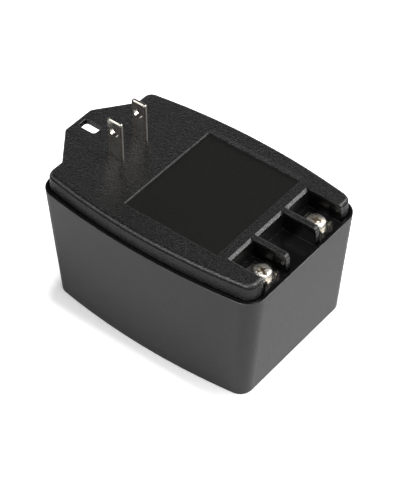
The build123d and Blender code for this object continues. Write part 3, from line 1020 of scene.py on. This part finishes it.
def wound_coil(low, high, inner_half, corners, wire, samples=5, steps=10, back_steps=9):
    """A layered winding as one closed skin. Its section goes along the outer layer, in along one end,
    back along the former and out along the other end. The section is carried round between an inner and
    an outer rounded rectangle. The outer layer sinks between its turns, which climb by one wire's width
    each time round, and the ends sink between the layers."""
    low, high = np.array(low), np.array(high)
    middle, half = (low + high) / 2, (high - low) / 2
    inner = rounded_loop(inner_half, corners[0], steps)
    outer = rounded_loop((half[0], half[2]), corners[1], steps)
    depth = np.linalg.norm(outer - inner, axis=1).min()
    width = high[1] - low[1]
    round_share = np.arange(len(outer)) / len(outer)
    turns, layers = round(width / wire), round(depth / wire)
    pitch = width / turns
    along = np.linspace(0.0, 1.0, turns * samples + 1)[:, None]
    into = np.linspace(1.0, 0.0, layers * samples + 1)[1:-1, None]
    back = np.linspace(1.0, 0.0, back_steps)[:, None]
    whole = np.ones(len(outer))
    top = 1.0 - wire_ridge(along * width + round_share * pitch, pitch) / depth
    end_sink = wire_ridge(into * depth, depth / layers) * END_SINK
    out = np.concatenate([top, into * top[-1], 0.0 * back * whole, into[::-1] * top[0]])
    across = np.concatenate(
        [along * width * whole, (width - end_sink) * whole, back * width * whole, end_sink[::-1] * whole]
    )
    ring = inner + out[:, :, None] * (outer - inner)
    points = np.stack([middle[0] + ring[:, :, 0], low[1] + across, middle[2] + ring[:, :, 1]], axis=2)
    return points, closed_grid(*points.shape[:2])


class TRANSFORMER_OT_windings(bpy.types.Operator):
    """Winds both coils turn by turn in place of their plain solids."""

    bl_idname = "transformer.windings"
    bl_label = "Windings"

    def execute(self, context):
        s = context.scene.transformer_coils
        color = context.scene.transformer_metals.wire_color
        for side, wire in (("primary", s.primary_wire), ("secondary", s.secondary_wire)):
            node = f"{side}_winding"
            finish = plated(f"{side}_wire", color, roughness=0.25)
            corners = (s.inner_corner, s.outer_corner)
            points, faces = wound_coil(*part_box(node), s.inner_half, corners, wire)
            piece = new_piece(f"{side}_coil", points, faces, finish)
            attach(piece, BODY)
            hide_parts(node)
        return {"FINISHED"}


def solder_cone(place, direction, radius, tip, height, steps=24, rows=10):
    """A joint turned round its direction: full at the foot, it curves in to the tip's radius as the
    square of what is left of its height, and closes to a point at both ends."""
    rise = np.linspace(0.0, 1.0, rows)
    reach = tip + (radius - tip) * (1.0 - rise) ** 2
    reach = np.concatenate([[0.0], reach, [0.0]])
    climb = np.concatenate([[0.0], rise, [1.0]]) * height
    turn = np.arange(steps) / steps * 2 * np.pi
    ahead = np.array(direction, float)
    side = np.roll(ahead, 1)
    up = np.cross(ahead, side)
    wheel = np.cos(turn)[:, None] * side + np.sin(turn)[:, None] * up
    return np.array(place) + climb[:, None, None] * ahead + reach[:, None, None] * wheel


def open_grid(rows, columns, first):
    """Faces of a grid that closes round its columns only, with indexes counted from first."""
    index = first + np.arange(rows * columns).reshape(rows, columns)
    ahead = np.roll(index, -1, axis=1)
    return np.stack([index[:-1], ahead[:-1], ahead[1:], index[1:]], axis=2).reshape(-1, 4)


class TRANSFORMER_OT_solder(bpy.types.Operator):
    """Puts a solder joint where each lead meets a pin, a blade's tail or a terminal's tail."""

    bl_idname = "transformer.solder"
    bl_label = "Solder joints"

    def execute(self, context):
        s = context.scene.transformer_coils
        lead = s.lead_radius
        blade_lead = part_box("primary_lead_left")
        plate_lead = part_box("secondary_lead_right")
        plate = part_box("terminal_plate_right")
        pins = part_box("bobbin_pins")[1]
        blade_x, blade_y, blade_z = blade_lead[0][0] + lead, -blade_lead[1][1], blade_lead[0][2] + lead
        plate_x, plate_z = plate_lead[1][0], plate_lead[0][2] + lead
        plate_y = (plate[0][1] + plate[1][1]) / 2
        # Radius at the foot, radius at the tip and height: on the leads' ends, and on the thin pins
        big = (s.joint_radius, 1.05 * lead, s.joint_height)
        small = (0.65 * s.joint_radius, 1.2 * s.pin_radius, s.joint_height)
        joints = []
        for side in (-1, 1):
            joints.append(solder_cone((blade_x, side * blade_y, blade_z), (0, side, 0), *big))
            joints.append(solder_cone((plate_x, side * plate_y, plate_z), (-1, 0, 0), *big))
            for inward in (0.0, s.pin_pitch):
                pin_x = side * (pins[0] - s.pin_radius - inward)
                foot = (pin_x, side * (pins[1] - s.pin_radius), pins[2] - s.pin_height)
                joints.append(solder_cone(foot, (0, 0, 1), *small))
        joints = np.array(joints)
        rows, columns = joints.shape[1:3]
        firsts = np.arange(len(joints)) * rows * columns
        faces = [open_grid(rows, columns, first) for first in firsts]
        color = context.scene.transformer_inside.solder_color
        finish = plated("solder", color, roughness=0.22)
        piece = new_piece("solder_joints", joints, np.concatenate(faces), finish)
        close_poles(piece)
        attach(piece, BODY)
        return {"FINISHED"}


class TRANSFORMER_OT_wiring(bpy.types.Operator):
    """Finishes the retainer, the cutoff and its sleeve, and the leads."""

    bl_idname = "transformer.wiring"
    bl_label = "Wiring"

    def execute(self, context):
        s = context.scene.transformer_inside
        give("blade_retainer", moulded("fibre_board", s.board_color, *BOARD))
        give("thermal_cutoff", plated("cutoff_metal", s.cutoff_color, roughness=0.25))
        give("cutoff_lead", plated("lead_metal", s.tin_color, roughness=0.35))
        give("cutoff_sleeve", moulded("sleeve_braid", s.sleeve_color, *BRAID))
        for winding, color in (("primary", s.primary_color), ("secondary", s.secondary_color)):
            insulation = moulded(f"{winding}_insulation", color, *INSULATION)
            give(f"{winding}_lead_left", insulation)
            give(f"{winding}_lead_right", insulation)
        return {"FINISHED"}


def lamp(name, place, size, power, on_matt):
    """A square area lamp that points at the object, seen by matt surfaces or only in gloss."""
    data = bpy.data.lights.new(name, "AREA")
    data.shape = "RECTANGLE"
    data.size, data.size_y = size
    data.energy = power
    light = bpy.data.objects.new(name, data)
    light.location = place
    light.rotation_euler = (Vector(LAMP_AIM) - Vector(place)).to_track_quat("-Z", "Y").to_euler()
    light.visible_diffuse = on_matt
    bpy.context.scene.collection.objects.link(light)


class TRANSFORMER_OT_studio(bpy.types.Operator):
    """Makes the floor, the lamps, the pale world and the camera."""

    bl_idname = "transformer.studio"
    bl_label = "Studio"

    def execute(self, context):
        s = context.scene.transformer_studio
        scene = context.scene
        scene.view_settings.view_transform = "Standard"
        self.floor(s)
        self.world(s, scene)
        for row in LAMPS:
            lamp(*row)
        self.camera(s, scene)
        return {"FINISHED"}

    def floor(self, s):
        """A wide flat square under the object, white to the camera but for the shadow close to it: partly
        the lamps' shadow, partly painted by a camera-only glow that fades towards the foot.
        """
        finish = Finish("floor_paint", s.floor_color, roughness=0.9)
        finish.shader.inputs["Specular IOR Level"].default_value = 0.1
        painted_shadow_half = [high - taper + s.shadow_core for high, taper in zip(case_high, s.foot_taper)]
        away = finish.edge_distance(s.shadow_shift, painted_shadow_half, FOOT_CORNER)
        # Painted shadow: the glow the camera sees is weakest at the foot and full past the shadow's reach
        glow = finish.ramp(away, s.contact_glow, 1.0, 0.0, s.shadow_reach)
        seen = finish.add("ShaderNodeLightPath").outputs["Is Camera Ray"]
        finish.shader.inputs["Emission Color"].default_value = (1.0, 1.0, 1.0, 1.0)
        finish.join(finish.times(glow, seen), finish.shader.inputs["Emission Strength"])
        corners = FLOOR_HALF * np.array([(-1, -1, 0), (1, -1, 0), (1, 1, 0), (-1, 1, 0)])
        new_piece("studio_floor", corners, np.array([(0, 1, 2, 3)]), finish)

    def world(self, s, scene):
        """Bright all round near the horizon, dimmer above, and white to a camera or a clear ray."""
        world = bpy.data.worlds.new("studio_world")
        world.use_nodes = True
        scene.world = world
        add = world.node_tree.nodes.new
        link = world.node_tree.links.new
        background = world.node_tree.nodes["Background"]
        background.inputs["Color"].default_value = (1.0, 1.0, 1.0, 1.0)
        direction = add("ShaderNodeSeparateXYZ")
        link(add("ShaderNodeTexCoord").outputs["Generated"], direction.inputs[0])
        fall = add("ShaderNodeMapRange")
        fall.interpolation_type = "SMOOTHSTEP"
        fall.inputs["From Min"].default_value = HORIZON_TOP
        fall.inputs["From Max"].default_value = OVERHEAD_START
        fall.inputs["To Min"].default_value = s.horizon_light
        fall.inputs["To Max"].default_value = s.overhead_light
        link(direction.outputs["Z"], fall.inputs["Value"])
        path = add("ShaderNodeLightPath")
        seen = add("ShaderNodeMath")
        seen.operation = "MAXIMUM"
        link(path.outputs["Is Camera Ray"], seen.inputs[0])
        link(path.outputs["Is Transmission Ray"], seen.inputs[1])
        strength = add("ShaderNodeMix")
        link(seen.outputs[0], strength.inputs["Factor"])
        link(fall.outputs["Result"], strength.inputs["A"])
        strength.inputs["B"].default_value = 1.0
        link(strength.outputs["Result"], background.inputs["Strength"])

    def camera(self, s, scene):
        """The photograph's camera, from its direction, its lens and where the aim point lies in view."""
        back = Vector(
            (
                math.sin(s.azimuth) * math.cos(s.elevation),
                -math.cos(s.azimuth) * math.cos(s.elevation),
                math.sin(s.elevation),
            )
        )
        right = Vector((0.0, 0.0, 1.0)).cross(back).normalized()
        up = back.cross(right)
        turned_right = math.cos(s.roll) * right + math.sin(s.roll) * up
        turned_up = -math.sin(s.roll) * right + math.cos(s.roll) * up
        turn = Matrix((turned_right, turned_up, back)).transposed()
        data = bpy.data.cameras.new("photo_camera")
        data.sensor_fit = "AUTO"
        data.sensor_width = SENSOR
        data.lens = s.focal_length
        data.clip_start = 0.01
        data.clip_end = 50.0
        camera = bpy.data.objects.new("photo_camera", data)
        across, upward, ahead = s.aim_offset
        camera.location = Vector(s.aim) - turn @ Vector((across, upward, -ahead))
        camera.rotation_mode = "QUATERNION"
        camera.rotation_quaternion = turn.to_quaternion()
        scene.collection.objects.link(camera)
        scene.camera = camera


OPERATORS = (
    TRANSFORMER_OT_case,
    TRANSFORMER_OT_cover,
    TRANSFORMER_OT_blades,
    TRANSFORMER_OT_terminals,
    TRANSFORMER_OT_core,
    TRANSFORMER_OT_former,
    TRANSFORMER_OT_windings,
    TRANSFORMER_OT_wiring,
    TRANSFORMER_OT_solder,
    TRANSFORMER_OT_studio,
)


class TRANSFORMER_PT_pieces(bpy.types.Panel):
    """Lists the pieces in the order in which they are made, and then the settings."""

    bl_idname = "TRANSFORMER_PT_pieces"
    bl_label = "Transformer"
    bl_space_type = "VIEW_3D"
    bl_region_type = "UI"
    bl_category = "Transformer"

    def draw(self, context):
        for operator in OPERATORS:
            self.layout.operator(operator.bl_idname)
        for group in GROUPS:
            settings = getattr(context.scene, group)
            for name in settings.bl_rna.properties.keys():
                if name not in ("rna_type", "name"):
                    self.layout.prop(settings, name)


GROUPS = {
    "transformer_mouldings": MouldingSettings,
    "transformer_metals": MetalSettings,
    "transformer_inside": InsideSettings,
    "transformer_coils": CoilSettings,
    "transformer_studio": StudioSettings,
}
CLASSES = (*GROUPS.values(), *OPERATORS, TRANSFORMER_PT_pieces)


def register():
    """Makes the settings, the operators and the panel known to Blender."""
    for item in CLASSES:
        bpy.utils.register_class(item)
    for name, group in GROUPS.items():
        setattr(bpy.types.Scene, name, bpy.props.PointerProperty(type=group))


def unregister():
    """Takes them away again."""
    for name in GROUPS:
        delattr(bpy.types.Scene, name)
    for item in reversed(CLASSES):
        bpy.utils.unregister_class(item)


def main():
    """Makes every piece in order."""
    register()
    for operator in OPERATORS:
        group, name = operator.bl_idname.split(".")
        getattr(getattr(bpy.ops, group), name)()


if __name__ == "__main__":
    main()
